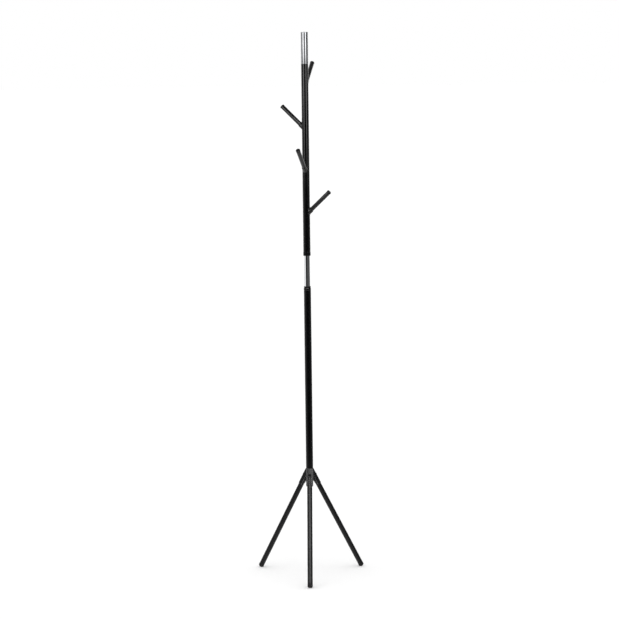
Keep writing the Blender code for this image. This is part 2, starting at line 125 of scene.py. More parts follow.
filletShare = 0.49  # the most of a side that one fillet takes
filletStep = 12  # degrees of arc between a fillet's points


# An outline of (radius, height, fillet) corners in mm, with each fillet drawn as an arc.
def roundedOutline(corners, closed):
    count = len(corners)
    outline = []
    for index, (radius, height, fillet) in enumerate(corners):
        here = Vector((radius, height))
        if fillet <= 0 or (not closed and index in (0, count - 1)):
            outline.append(here)
            continue
        before = Vector(corners[index - 1][:2]) - here
        after = Vector(corners[(index + 1) % count][:2]) - here
        corner = before.angle(after)
        most = filletShare * min(before.length, after.length)
        reach = min(fillet / math.tan(corner / 2), most)
        size = reach * math.tan(corner / 2)
        middle = (before.normalized() + after.normalized()).normalized()
        centre = here + middle * size / math.sin(corner / 2)
        spokes = [here + side.normalized() * reach - centre for side in (before, after)]
        start, end = (math.atan2(spoke.y, spoke.x) for spoke in spokes)
        sweep = (end - start + math.pi) % math.tau - math.pi
        steps = max(3, round(abs(math.degrees(sweep)) / filletStep))
        for step in range(steps + 1):
            angle = start + sweep * step / steps
            outline.append(centre + size * Vector((math.cos(angle), math.sin(angle))))
    return outline


mergeGap = 0.002  # mm


def finishMesh(name, bm, matrix, sharpAngle=40.0):  # the piece's place is in its mesh, as a node's is
    bmesh.ops.remove_doubles(bm, verts=bm.verts, dist=mm(mergeGap))
    bmesh.ops.transform(bm, matrix=matrix, verts=bm.verts)
    bmesh.ops.recalc_face_normals(bm, faces=bm.faces)
    mesh = bpy.data.meshes.new(name)
    bm.to_mesh(mesh)
    bm.free()
    mesh.shade_smooth()
    mesh.set_sharp_from_angle(angle=math.radians(sharpAngle))
    piece = bpy.data.objects.new(name, mesh)
    bpy.context.scene.collection.objects.link(piece)
    return piece


# A turned piece in mm: a closed outline is a ring, an open one starts and ends on the axis.
def turnedPiece(name, corners, matrix, closed=True, sides=96):
    outline = roundedOutline(corners, closed)
    bm = bmesh.new()
    ring = [bm.verts.new((mm(point.x), 0, mm(point.y))) for point in outline]
    pairs = list(zip(ring, ring[1:] + ring[:1] if closed else ring[1:]))
    edges = [bm.edges.new(pair) for pair in pairs]
    turn = {"cent": (0, 0, 0), "axis": (0, 0, 1), "angle": math.tau, "steps": sides, "use_merge": True}
    bmesh.ops.spin(bm, geom=ring + edges, **turn)
    return finishMesh(name, bm, matrix)


def flatRing(bm, sides, radius, height):  # mm
    points = []
    for i in range(sides):
        angle = math.tau * i / sides
        x, y = radius * math.cos(angle), radius * math.sin(angle)
        points.append(bm.verts.new((mm(x), mm(y), mm(height))))
    return points


def bridgeRings(bm, rings, closed=False):
    following = rings[1:] + rings[:1] if closed else rings[1:]
    for ring, other in zip(rings, following):
        for i in range(len(ring)):
            j = (i + 1) % len(ring)
            bm.faces.new((ring[i], ring[j], other[j], other[i]))


def cutCylinder(radius, low, high, matrix):  # mm along the matrix's Z
    bm = bmesh.new()
    rings = [flatRing(bm, 64, radius, height) for height in (low, high)]
    bridgeRings(bm, rings)
    for ring in rings:
        bm.faces.new(ring)
    return finishMesh("cutTool", bm, matrix)


def cutBlock(low, high, matrix):  # mm, from corner to corner
    bm = bmesh.new()
    bmesh.ops.create_cube(bm, size=1.0)
    for vert in bm.verts:
        for axis in range(3):
            vert.co[axis] = mm(high[axis] if vert.co[axis] > 0 else low[axis])
    return finishMesh("cutTool", bm, matrix)


def addBoolean(piece, tool, operation):
    modifier = piece.modifiers.new("cut", "BOOLEAN")
    modifier.operation = operation
    modifier.solver = "MANIFOLD"
    modifier.object = tool
    return tool


def applyModifiers(piece, tools, sharpAngle=None):
    bpy.context.view_layer.update()
    graph = bpy.context.evaluated_depsgraph_get()
    mesh = bpy.data.meshes.new_from_object(piece.evaluated_get(graph))
    piece.modifiers.clear()
    piece.data = mesh
    mesh.shade_smooth()
    if sharpAngle:
        mesh.set_sharp_from_angle(angle=math.radians(sharpAngle))
    for tool in tools:
        bpy.data.objects.remove(tool)


def place(piece, body, slotName, material, *replaced):
    piece.data.materials.clear()
    piece.data.materials.append(material)
    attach(piece, body)
    if replaced:
        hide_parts(*replaced)


def startMaterial(name):
    material = bpy.data.materials.new(name)
    material.use_nodes = True
    tree = material.node_tree
    coords = addNode(tree, "ShaderNodeTexCoord").outputs["Object"]
    return material, tree, tree.nodes["Principled BSDF"], coords


# Noise whose features are about that many mm across, and longer along one axis where it is stretched.
def noiseOf(tree, coords, size, detail=2.0, stretch=(1, 1, 1)):
    mapped = addNode(tree, "ShaderNodeMapping", {"Scale": stretch}, {"Vector": coords}).outputs["Vector"]
    settings = {"Scale": 1 / mm(size), "Detail": detail, "Roughness": 0.55}
    return addNode(tree, "ShaderNodeTexNoise", settings, {"Vector": mapped}).outputs["Fac"]


toneSpan = (0.35, 0.65)  # the part of a noise's 0 to 1 that takes the colour from dark to light
wearSpan = (0.3, 0.7)  # and the roughness from low to high


# A finish's two colours mixed by one pattern, and its roughness moved between two values by another.
def paintShader(tree, shader, finish, tone, wear):
    limits = {"From Min": toneSpan[0], "From Max": toneSpan[1]}
    contrast = addNode(tree, "ShaderNodeMapRange", limits, {"Value": tone})
    colours = {"data_type": "RGBA", 6: linearColour(finish["dark"]), 7: linearColour(finish["light"])}
    mix = addNode(tree, "ShaderNodeMix", colours, {0: contrast.outputs["Result"]})
    tree.links.new(mix.outputs[2], shader.inputs["Base Color"])
    smooth, rough = finish["roughness"]
    limits = {"From Min": wearSpan[0], "From Max": wearSpan[1], "To Min": smooth, "To Max": rough}
    rampedNoise = addNode(tree, "ShaderNodeMapRange", limits, {"Value": wear})
    tree.links.new(rampedNoise.outputs["Result"], shader.inputs["Roughness"])


def bumpShader(tree, shader, height, depth):  # depth in mm from the pattern's low to its high
    bump = addNode(tree, "ShaderNodeBump", {"Distance": mm(depth), "Strength": 1.0}, {"Height": height})
    tree.links.new(bump.outputs["Normal"], shader.inputs["Normal"])


# Powder-coated steel, stoved to a gloss under clear lacquer: deep black, with sharp and faintly rippled
# highlights. In each finish the cloud is drawn coarser than the real unevenness, so that it shows with the
# whole rack in view, and peel, grain and lines keep their real size for close views.
glossCoat = {"dark": "#010101", "light": "#040405", "cloud": 38, "peel": 1.6, "peelDepth": 0.0012,
             "roughness": (0.12, 0.2), "ior": 1.45, "lacquer": 1.0, "lacquerRoughness": 0.03}


def powderCoatGloss():
    material, tree, shader, coords = startMaterial("powderCoatGloss")
    cloud = noiseOf(tree, coords, glossCoat["cloud"])
    fine = noiseOf(tree, coords, glossCoat["cloud"] / 6, 4.0)
    paintShader(tree, shader, glossCoat, cloud, fine)
    bumpShader(tree, shader, noiseOf(tree, coords, glossCoat["peel"], 1.0), glossCoat["peelDepth"])
    shader.inputs["IOR"].default_value = glossCoat["ior"]
    shader.inputs["Coat Weight"].default_value = glossCoat["lacquer"]
    shader.inputs["Coat Roughness"].default_value = glossCoat["lacquerRoughness"]
    return material


# Powder-coated steel, fine-textured and stoved to a satin: dark grey sheen with a tight, even grain.
satinCoat = {"dark": "#0b0b0c", "light": "#121213", "cloud": 24, "grain": 0.5, "grainDepth": 0.008,
             "roughness": (0.24, 0.32), "ior": 1.5}


def powderCoatSatin():
    material, tree, shader, coords = startMaterial("powderCoatSatin")
    cloud = noiseOf(tree, coords, satinCoat["cloud"])
    fine = noiseOf(tree, coords, satinCoat["cloud"] / 8, 3.0)
    paintShader(tree, shader, satinCoat, cloud, fine)
    bumpShader(tree, shader, noiseOf(tree, coords, satinCoat["grain"], 2.0), satinCoat["grainDepth"])
    shader.inputs["IOR"].default_value = satinCoat["ior"]
    return material


# Die-cast zinc, tumbled and powder-coated: greyer than the tubes. Its edge colour is a painted highlight,
# laid lighter on the soft edges in patches.
castCoat = {"dark": "#101011", "light": "#181819", "edge": "#9a9a9c", "cloud": 9, "grain": 0.7,
            "grainDepth": 0.012, "roughness": (0.2, 0.3), "ior": 1.5, "highlightEdgeSpan": (0.512, 0.545),
            "highlightPatchSpan": (0.3, 0.6)}


def castPowderCoat():
    material, tree, shader, coords = startMaterial("castPowderCoat")
    cloud = noiseOf(tree, coords, castCoat["cloud"], 4.0)
    fine = noiseOf(tree, coords, castCoat["cloud"] / 4, 3.0)
    paintShader(tree, shader, castCoat, cloud, fine)
    base = shader.inputs["Base Color"].links[0].from_socket
    # painted highlight: where the mesh is pointed, the colour is mixed towards a light grey, broken into
    # patches by the fine noise
    pointed = addNode(tree, "ShaderNodeNewGeometry").outputs["Pointiness"]
    limits = {"From Min": castCoat["highlightEdgeSpan"][0], "From Max": castCoat["highlightEdgeSpan"][1]}
    edge = addNode(tree, "ShaderNodeMapRange", limits, {"Value": pointed})
    limits = {"From Min": castCoat["highlightPatchSpan"][0], "From Max": castCoat["highlightPatchSpan"][1]}
    rampedNoise = addNode(tree, "ShaderNodeMapRange", limits, {"Value": fine}).outputs["Result"]
    both = {0: edge.outputs["Result"], 1: rampedNoise}
    paintedEdgeHighlight = addNode(tree, "ShaderNodeMath", {"operation": "MULTIPLY"}, both)
    settings = {"data_type": "RGBA", 7: linearColour(castCoat["edge"])}
    mix = addNode(tree, "ShaderNodeMix", settings, {0: paintedEdgeHighlight.outputs[0], 6: base})
    tree.links.new(mix.outputs[2], shader.inputs["Base Color"])
    bumpShader(tree, shader, noiseOf(tree, coords, castCoat["grain"], 2.0), castCoat["grainDepth"])
    shader.inputs["IOR"].default_value = castCoat["ior"]
    return material


# Steel tube, polished along its length and chrome plated: a mirror with faint lengthwise drawing lines.
chromePlate = {"dark": "#d4d6d9", "light": "#e6e7e9", "cloud": 30, "line": 0.35, "lineStretch": 200,
               "lineDepth": 0.00004, "roughness": (0.04, 0.08)}


def polishedChrome():
    material, tree, shader, coords = startMaterial("polishedChrome")
    lines = noiseOf(tree, coords, chromePlate["line"], 2.0, (1, 1, 1 / chromePlate["lineStretch"]))
    cloud = noiseOf(tree, coords, chromePlate["cloud"], 3.0)
    paintShader(tree, shader, chromePlate, cloud, lines)
    bumpShader(tree, shader, lines, chromePlate["lineDepth"])
    shader.inputs["Metallic"].default_value = 1.0
    return material


# ABS, injection moulded in a polished tool: glossy near-black with soft sink and a hint of flow.
mouldedAbs = {"dark": "#040405", "light": "#0a0a0b", "cloud": 7, "sink": 3.0, "sinkDepth": 0.002,
              "roughness": (0.10, 0.18), "ior": 1.54}


def mouldedGlossAbs():
    material, tree, shader, coords = startMaterial("mouldedGlossAbs")
    cloud = noiseOf(tree, coords, mouldedAbs["cloud"], 3.0)
    fine = noiseOf(tree, coords, mouldedAbs["cloud"] / 5, 3.0)
    paintShader(tree, shader, mouldedAbs, cloud, fine)
    bumpShader(tree, shader, noiseOf(tree, coords, mouldedAbs["sink"], 1.0), mouldedAbs["sinkDepth"])
    shader.inputs["IOR"].default_value = mouldedAbs["ior"]
    return material


# Alloy steel, turned and blackened in hot oxide: dark metal with fine rings and an oily half gloss.
oxideSteel = {"dark": "#08080a", "light": "#131315", "cloud": 1.4, "grain": 0.25, "grainDepth": 0.004,
              "roughness": (0.26, 0.38), "metallic": 0.9}


def blackOxideSteel():
    material, tree, shader, coords = startMaterial("blackOxideSteel")
    cloud = noiseOf(tree, coords, oxideSteel["cloud"], 3.0)
    fine = noiseOf(tree, coords, oxideSteel["grain"], 2.0)
    paintShader(tree, shader, oxideSteel, cloud, fine)
    bumpShader(tree, shader, fine, oxideSteel["grainDepth"])
    shader.inputs["Metallic"].default_value = oxideSteel["metallic"]
    return material


# Thermoplastic rubber, moulded matt: soft charcoal black with a spark-eroded tool grain.
rubberGrip = {"dark": "#0d0d0d", "light": "#161616", "cloud": 4, "grain": 0.35, "grainDepth": 0.02,
              "roughness": (0.55, 0.72), "ior": 1.5}


def mouldedRubber():
    material, tree, shader, coords = startMaterial("mouldedRubber")
    cloud = noiseOf(tree, coords, rubberGrip["cloud"], 3.0)
    fine = noiseOf(tree, coords, rubberGrip["grain"], 3.0)
    paintShader(tree, shader, rubberGrip, cloud, fine)
    bumpShader(tree, shader, fine, rubberGrip["grainDepth"])
    shader.inputs["IOR"].default_value = rubberGrip["ior"]
    return material


# Free-cutting steel, turned and zinc plated: pale blue-grey metal with fine turning rings.
zincSteel = {"dark": "#9aa0a5", "light": "#b9bec2", "cloud": 3, "ring": 0.3, "ringStretch": 50,
             "ringDepth": 0.004, "roughness": (0.28, 0.4)}


def zincPlatedSteel():
    material, tree, shader, coords = startMaterial("zincPlatedSteel")
    cloud = noiseOf(tree, coords, zincSteel["cloud"], 3.0)
    around = 1 / zincSteel["ringStretch"]
    rings = noiseOf(tree, coords, zincSteel["ring"], 1.0, (around, around, 1))
    paintShader(tree, shader, zincSteel, cloud, rings)
    bumpShader(tree, shader, rings, zincSteel["ringDepth"])
    shader.inputs["Metallic"].default_value = 1.0
    return material


# Nylon, injection moulded: dull dark grey with a waxy, slightly mottled skin.
waxyNylon = {"dark": "#2a2a2b", "light": "#363637", "cloud": 5, "grain": 0.6, "grainDepth": 0.01,
             "roughness": (0.45, 0.58), "ior": 1.53}


def mouldedNylon():
    material, tree, shader, coords = startMaterial("mouldedNylon")
    cloud = noiseOf(tree, coords, waxyNylon["cloud"], 3.0)
    fine = noiseOf(tree, coords, waxyNylon["grain"], 3.0)
    paintShader(tree, shader, waxyNylon, cloud, fine)
    bumpShader(tree, shader, fine, waxyNylon["grainDepth"])
    shader.inputs["IOR"].default_value = waxyNylon["ior"]
    return material


glossBlack = powderCoatGloss()
satinBlack = powderCoatSatin()
castBlack = castPowderCoat()
chrome = polishedChrome()
glossAbs = mouldedGlossAbs()
oxide = blackOxideSteel()
rubber = mouldedRubber()
zinc = zincPlatedSteel()
nylon = mouldedNylon()
print("materials: %d" % len(bpy.data.materials))


# Mast tubes: drawn tube with its ends faced and broken, in mm.
tubeEnds = {"wall": 1.2, "outerBreak": 0.35, "innerBreak": 0.2}


def buildTube(name, node, body, slotName, material):
    low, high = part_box(node)
    outer = 500 * (high.x - low.x)
    inner = outer - tubeEnds["wall"]
    length = 1000 * (high.z - low.z)
    outside, inside = tubeEnds["outerBreak"], tubeEnds["innerBreak"]
    corners = [(inner, length, inside), (outer, length, outside), (outer, 0, outside), (inner, 0, inside)]
    place(turnedPiece(name, corners, upright(low.z)), body, slotName, material, node)


buildTube("lowerTube", "lower_tube", "stand", "gloss_black_paint", glossBlack)
buildTube("upperTube", "upper_tube", "head", "gloss_black_paint", glossBlack)
buildTube("neckTube", "inner_tube", "head", "chrome_plate", chrome)
buildTube("topTube", "top_tube", "head", "chrome_plate", chrome)
print("mast tubes built")


# Lock ring: a barrel-shaped grip under a dark groove and a bevelled crown, in mm from its lower edge.
lockRing = {"throat": 8.8, "thread": 9.9, "lip": 2.0, "belly": 11.3, "beltTop": 7.2, "beltBow": 24.0,
            "beltSteps": 12, "beltEdge": 0.3, "groove": 9.9, "grooveRound": 0.4, "grooveSlope": 0.2,
            "crownFoot": 9.4, "crownFootEdge": 0.25, "crown": 11.2, "crownEdge": 10.3, "crownRound": 0.7,
            "crownTop": 9.5, "topEdge": 0.5, "throatEdge": 0.3, "threadEdge": 0.1}


def buildLockRing():
    low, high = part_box("lock_ring")
    top = 1000 * (high.z - low.z)
    ring = lockRing
    corners = [(ring["throat"], top, ring["throatEdge"]), (ring["crownTop"], top, ring["topEdge"])]
    corners.append((ring["crown"], ring["crownEdge"], ring["crownRound"]))
    corners.append((ring["crown"], ring["crownFoot"], ring["crownFootEdge"]))
    corners.append((ring["groove"], ring["crownFoot"] - ring["grooveSlope"], ring["grooveRound"]))
    corners.append((ring["groove"], ring["beltTop"] + ring["grooveSlope"], ring["grooveRound"]))
    half = ring["beltTop"] / 2
    bow = half / math.sin(math.radians(ring["beltBow"]))
    for step in range(ring["beltSteps"] + 1):  # the belt bows out
        angle = math.radians(ring["beltBow"] * (1 - 2 * step / ring["beltSteps"]))
        fillet = ring["beltEdge"] if step in (0, ring["beltSteps"]) else 0
        corners.append((ring["belly"] - bow * (1 - math.cos(angle)), half + bow * math.sin(angle), fillet))
    corners += [(ring["thread"], 0, ring["threadEdge"]), (ring["thread"], top - ring["lip"], 0)]
    corners.append((ring["throat"], top - ring["lip"], ring["threadEdge"]))
    piece = turnedPiece("lockRing", corners, upright(low.z))
    place(piece, "ring", "black_abs", glossAbs, "lock_ring")


# Collar: a full ring with a rounded lower rim, and a sleeve that goes up into the tube, in mm.
collarShape = {"throat": 8.8, "throatEdge": 0.4, "sleeve": 9.6, "sleeveEdge": 0.2, "sleeveFoot": 0.1,
               "belly": 11.5, "rim": 2.4, "topEdge": 0.8, "height": 12.5}


def buildCollar():
    low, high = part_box("collar")
    top = 1000 * (high.z - low.z)
    shape = collarShape
    corners = [(shape["throat"], top, shape["sleeveEdge"]), (shape["sleeve"], top, shape["sleeveEdge"])]
    corners.append((shape["sleeve"], shape["height"], shape["sleeveFoot"]))
    corners += [(shape["belly"], shape["height"], shape["topEdge"]), (shape["belly"], 0, shape["rim"])]
    corners.append((shape["throat"], 0, shape["throatEdge"]))
    piece = turnedPiece("collarRing", corners, upright(low.z))
    place(piece, "head", "black_abs", glossAbs, "collar")


# Top cap: a chrome disc flush with the tube, over a plug that is pressed inside, in mm.
topCapShape = {"height": 1.5, "plug": 9.6, "plugEdge": 0.5, "edge": 0.35, "underEdge": 0.15, "crown": 0.12,
               "flatShare": 0.6, "crownShare": 0.4, "crownSweep": 6.0}


def buildTopCap():
    low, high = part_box("top_cap")
    top = 1000 * (high.z - low.z)
    outer = 500 * (high.x - low.x)
    shape = topCapShape
    shoulder = top - shape["crown"] * shape["crownShare"]
    corners = [(0, top, 0), (outer * shape["flatShare"], shoulder, shape["crownSweep"])]
    corners.append((outer, top - shape["crown"], shape["edge"]))
    corners.append((outer, top - shape["height"], shape["underEdge"]))
    corners += [(shape["plug"], top - shape["height"], 0), (shape["plug"], 0, shape["plugEdge"]), (0, 0, 0)]
    piece = turnedPiece("topCap", corners, upright(low.z), closed=False)
    place(piece, "head", "chrome_plate", chrome, "top_cap")


buildLockRing()
buildCollar()
buildTopCap()
print("rings and top cap built")


# Legs: tube with a broken lower edge, closed at the floor by a pushed-in cap, in mm.
legShape = {"wall": 1.2, "edge": 0.4, "screwHole": 2.8}
footShape = {"gap": 0.3, "height": 10.0, "rounding": 3.6, "plugDepth": 15.0, "plug": 6.5, "plugEdge": 0.8,
             "groove": 0.35, "grooveLow": 0.9, "grooveHigh": 1.1, "lipEdge": 0.3, "grooveEdge": 0.1}


def legFrame(side):
    return axisFrame("leg_" + side, mastAt(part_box("hub")[1].z))


# On the leg's axis at its screw, with +Z to the leg's upper side.
def screwFrame(side):
    matrix = legFrame(side)[0]
    points = [matrix.inverted() @ Vector(point) for point in nodePoints("leg_screw_" + side)]
    along = (min(point.z for point in points) + max(point.z for point in points)) / 2
    return matrix @ Matrix.Translation((0, 0, along)) @ Matrix.Rotation(math.radians(-90), 4, "Y")


def buildLeg(side):
    matrix, length, _ = legFrame(side)
    outer = 500 * (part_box("leg_front")[1].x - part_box("leg_front")[0].x)
    inner = outer - legShape["wall"]
    edge = legShape["edge"]
    corners = [(inner, length, edge / 2), (outer, length, edge), (outer, 0, edge), (inner, 0, edge / 2)]
    piece = turnedPiece("legTube_" + side, corners, matrix)
    drill = cutCylinder(legShape["screwHole"], -2 * outer, 2 * outer, screwFrame(side))
    applyModifiers(piece, [addBoolean(piece, drill, "DIFFERENCE")], 40.0)
    place(piece, "stand", "satin_black_paint", satinBlack, "leg_" + side)


def buildFoot(side):
    matrix, length, _ = legFrame(side)
    outer = 500 * (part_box("foot_front")[1].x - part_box("foot_front")[0].x)
    shape = footShape
    end = shape["height"]
    neck = outer - shape["groove"]
    depth = -shape["plugDepth"]
    corners = [(0, end, 0), (outer, end, shape["rounding"]), (outer, shape["grooveHigh"], shape["lipEdge"])]
    corners += [(neck, shape["grooveLow"], shape["grooveEdge"]), (neck, 0, shape["grooveEdge"])]
    corners += [(shape["plug"], 0, 0), (shape["plug"], depth, shape["plugEdge"]), (0, depth, 0)]
    start = matrix @ Matrix.Translation((0, 0, mm(length + shape["gap"])))
    piece = turnedPiece("footCap_" + side, corners, start, closed=False)
    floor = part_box("foot_" + side)[0].z
    for vertex in piece.data.vertices:  # the sole is flat where it rests on the floor
        vertex.co.z = max(vertex.co.z, floor)
    place(piece, "stand", "foot_rubber", rubber, "foot_" + side)


for side in legSides:
    buildLeg(side)
    buildFoot(side)
print("legs and feet built")


# Pegs: a tube on a ferrule that is coped to the mast, with a cap pushed into its end, in mm.
pegShape = {"capEdge": 2.2, "capSkirt": 0.3, "capGap": 0.15, "plugGap": 0.3, "plugEdge": 0.5,
            "rodEdge": 0.3, "socketEdge": 0.7, "flare": 0.7, "flareReach": 2.5, "bore": 3.3,
            "copeGap": 0.05}
pegSides = 96
arcSteps = 6  # for a ferrule's flare and its rounded end


# The peg's axis frame moved to where that axis meets the mast's, with the way to the rod's start, the rod's
# length and its radius in mm.
def pegFrame(number):
    matrix, length, radius = axisFrame("peg_" + number, mastAt(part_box("peg_" + number)[0].z))
    forward = matrix.col[2].to_3d()
    start = matrix.translation
    flat = Vector((forward.x, forward.y, 0))
    out = Vector((start.x - mastAt(0).x, start.y - mastAt(0).y, 0))
    reach = out.length / flat.length
    moved = matrix.copy()
    moved.translation = start - forward * reach
    return moved, 1000 * reach, length, radius


# A ring that follows the mast's surface. The peg's frame has +X on its lower side, so the rise of the peg
# gives each point's distance from the mast's axis.
def copedRing(bm, radius, along, mastRadius, rise):
    points = []
    for i in range(pegSides):
        angle = math.tau * i / pegSides
        down, across = radius * math.cos(angle), radius * math.sin(angle)
        outwards = math.sqrt(mastRadius ** 2 - across ** 2)
        height = (outwards - down * math.sin(rise)) / math.cos(rise) + along
        points.append(bm.verts.new((mm(down), mm(across), mm(height))))
    return points


# A ferrule: each line of its side starts on the mast's surface, and it flares where the two meet.
def buildSocket(number):
    matrix = pegFrame(number)[0]
    local = [matrix.inverted() @ Vector(point) for point in nodePoints("peg_socket_" + number)]
    end = 1000 * max(point.z for point in local)
    outer = 1000 * max(math.hypot(point.x, point.y) for point in local)
    mastRadius = 500 * (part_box("upper_tube")[1].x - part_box("upper_tube")[0].x) + pegShape["copeGap"]
    rise = math.asin(matrix.col[2].z)
    bm = bmesh.new()
    rings = []
    for step in range(arcSteps + 1):
        share = step / arcSteps
        radius = outer + pegShape["flare"] * (1 - share) ** 2
        rings.append(copedRing(bm, radius, pegShape["flareReach"] * share, mastRadius, rise))
    edge = pegShape["socketEdge"]
    for step in range(arcSteps + 1):
        angle = math.pi / 2 * step / arcSteps
        radius = outer - edge * (1 - math.cos(angle))
        rings.append(flatRing(bm, pegSides, radius, end - edge * (1 - math.sin(angle))))
    rings.append(flatRing(bm, pegSides, pegShape["bore"], end))
    rings.append(copedRing(bm, pegShape["bore"], 0.0, mastRadius, rise))
    bridgeRings(bm, rings, closed=True)
    piece = finishMesh("pegSocket_" + number, bm, matrix)
    place(piece, "head", "gloss_black_paint", glossBlack, "peg_socket_" + number)


def buildPeg(number):
    matrix, start, length, radius = pegFrame(number)
    shape = pegShape
    edge = shape["rodEdge"]
    bore = shape["bore"]
    end = start + length
    corners = [(bore, end, 0), (radius, end, edge), (radius, start, edge), (bore, start, 0)]
    piece = turnedPiece("pegRod_" + number, corners, matrix)
    place(piece, "head", "gloss_black_paint", glossBlack, "peg_" + number)
    local = [matrix.inverted() @ Vector(point) for point in nodePoints("peg_cap_" + number)]
    tip = 1000 * max(point.z for point in local)
    plugEnd = 1000 * min(point.z for point in local)
    capRadius = 1000 * max(math.hypot(point.x, point.y) for point in local)
    plug = bore - shape["plugGap"]
    low = end + shape["capGap"]
    corners = [(0, tip, 0), (capRadius, tip, shape["capEdge"]), (capRadius, low, shape["capSkirt"])]
    corners += [(plug, low, 0), (plug, plugEnd, shape["plugEdge"]), (0, plugEnd, 0)]
    cap = turnedPiece("pegCap_" + number, corners, matrix, closed=False)
    place(cap, "head", "black_abs", glossAbs, "peg_cap_" + number)


for number in pegNumbers:
    buildSocket(number)
    buildPeg(number)
print("pegs built")


# Hub casting, in mm. Distances along a leg are from the leg's upper end, heights across it from its axis.
hubShape = {"barrel": 46.0, "barrelRound": 5.4, "radius": 10.8, "start": -22.0, "end": 38.5,
            "halfWidth": 11.1, "rounding": 2.6, "crest": 7.4, "shoulder": 5.8, "floor": 9.8, "floorArc": 60,
            "floorEnd": 25.0, "floorLift": 0.3, "mouth": 5.0, "bore": 8.25, "boreStart": -0.3,
            "noseStart": -24.0, "noseEnd": 1.2, "studHole": 5.3, "studDepth": 12.8, "screwDepth": 11.6,
            "voxel": 0.36, "soften": 5}
endSteps, archSteps = 8, 16  # along a saddle's rounded end, and across its crest and its floor
cutReach, cutAside = 60.0, 20.0  # cutting blocks go well past the casting, and past a leg's saddle
cutPast = 10.0  # and the cuts along a leg end beyond the fingers


# The block that hugs a leg: a low arch above, straight cheeks, a round floor, and a rounded lower end.
def hubSaddle(matrix):
    shape = hubShape
    bm = bmesh.new()
    stations = [(shape["start"], shape["halfWidth"])]
    for step in range(endSteps + 1):
        angle = math.pi / 2 * step / endSteps
        width = shape["halfWidth"] - shape["rounding"] * (1 - math.cos(angle))
        stations.append((shape["end"] - shape["rounding"] * (1 - math.sin(angle)), width))
    rings = []
    for distance, width in stations:
        section = []
        for step in range(archSteps + 1):
            across = width * (1 - 2 * step / archSteps)
            drop = (shape["crest"] - shape["shoulder"]) * (across / shape["halfWidth"]) ** 2
            section.append((drop - shape["crest"], across))
        section.append((shape["shoulder"], -width))
        for step in range(archSteps + 1):
            angle = math.radians(shape["floorArc"] * (2 * step / archSteps - 1))
            section.append((shape["floor"] * math.cos(angle), shape["floor"] * math.sin(angle)))
        section.append((shape["shoulder"], width))
        rings.append([bm.verts.new((mm(x), mm(y), mm(distance))) for x, y in section])
    bridgeRings(bm, rings)
    bm.faces.new(rings[0])
    bm.faces.new(rings[-1])
    return finishMesh("hubTool", bm, matrix)


def buildHub():
    shape = hubShape
    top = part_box("hub")[1].z
    crown = shape["radius"]
    corners = [(0, crown, 0), (shape["radius"], crown, 0)]
    corners += [(shape["radius"], -shape["barrel"], shape["barrelRound"]), (0, -shape["barrel"], 0)]
    hub = turnedPiece("hubCasting", corners, upright(top), closed=False)
    frames = {side: legFrame(side)[0] for side in legSides}
    legRadius = 500 * (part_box("leg_front")[1].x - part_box("leg_front")[0].x)
    tools = []
    for side in legSides:
        tools.append(addBoolean(hub, hubSaddle(frames[side]), "UNION"))
    for side in legSides:
        nose = cutCylinder(legRadius, shape["noseStart"], shape["noseEnd"], frames[side])
        tools.append(addBoolean(hub, nose, "UNION"))
    above = cutBlock((-cutReach, -cutReach, 0), (cutReach, cutReach, cutReach), upright(top))
    tools.append(addBoolean(hub, above, "DIFFERENCE"))
    reach = shape["end"] + cutPast
    for side in legSides:
        matrix = frames[side]
        bore = cutCylinder(shape["bore"], shape["boreStart"], reach, matrix)
        slot = cutBlock((-cutAside, -shape["mouth"], 0), (-legRadius / 2, shape["mouth"], reach), matrix)
        screw = cutCylinder(legShape["screwHole"], -shape["screwDepth"], 0, screwFrame(side))
        low = (shape["shoulder"] - shape["floorLift"], -cutAside, shape["floorEnd"])
        under = cutBlock(low, (cutAside, cutAside, reach), matrix)
        for tool in (bore, slot, screw, under):
            tools.append(addBoolean(hub, tool, "DIFFERENCE"))
    stud = cutCylinder(shape["studHole"], -shape["studDepth"], shape["studDepth"], upright(top))
    tools.append(addBoolean(hub, stud, "DIFFERENCE"))
    remesh = hub.modifiers.new("cast", "REMESH")
    remesh.mode = "VOXEL"
    remesh.voxel_size = mm(shape["voxel"])
    smooth = hub.modifiers.new("tumble", "SMOOTH")
    smooth.iterations = shape["soften"]
    applyModifiers(hub, tools)
    print("hub cast: %d faces" % len(hub.data.polygons))
    place(hub, "stand", "satin_black_paint", castBlack, "hub")


buildHub()


# Leg screws: M5 button heads with a hexagon socket, in mm from the leg's axis.
screwShape = {"seat": 8.3, "head": 3.7, "height": 1.6, "rim": 0.45, "rimEdge": 0.1, "flat": 1.95,
              "key": 1.45, "keyDepth": 1.1, "keyCone": 0.25, "keyConeTip": 0.2, "keyBevel": 0.1,
              "keyBevelDepth": 0.12, "shank": 2.5, "plain": 1.0, "root": 2.1, "pitch": 0.8, "tip": -11.3,
              "tipBevel": 0.6, "tipStep": 0.2}
screwSides = 96
domeSteps = 8


# A ring whose radius follows a hexagon, for the key's socket.
def keyRing(bm, halfWidth, height):
    points = []
    for i in range(screwSides):
        angle = math.tau * i / screwSides
        radius = halfWidth / math.cos((angle % (math.pi / 3)) - math.pi / 6)
        x, y = radius * math.cos(angle), radius * math.sin(angle)
        points.append(bm.verts.new((mm(x), mm(y), mm(height))))
    return points


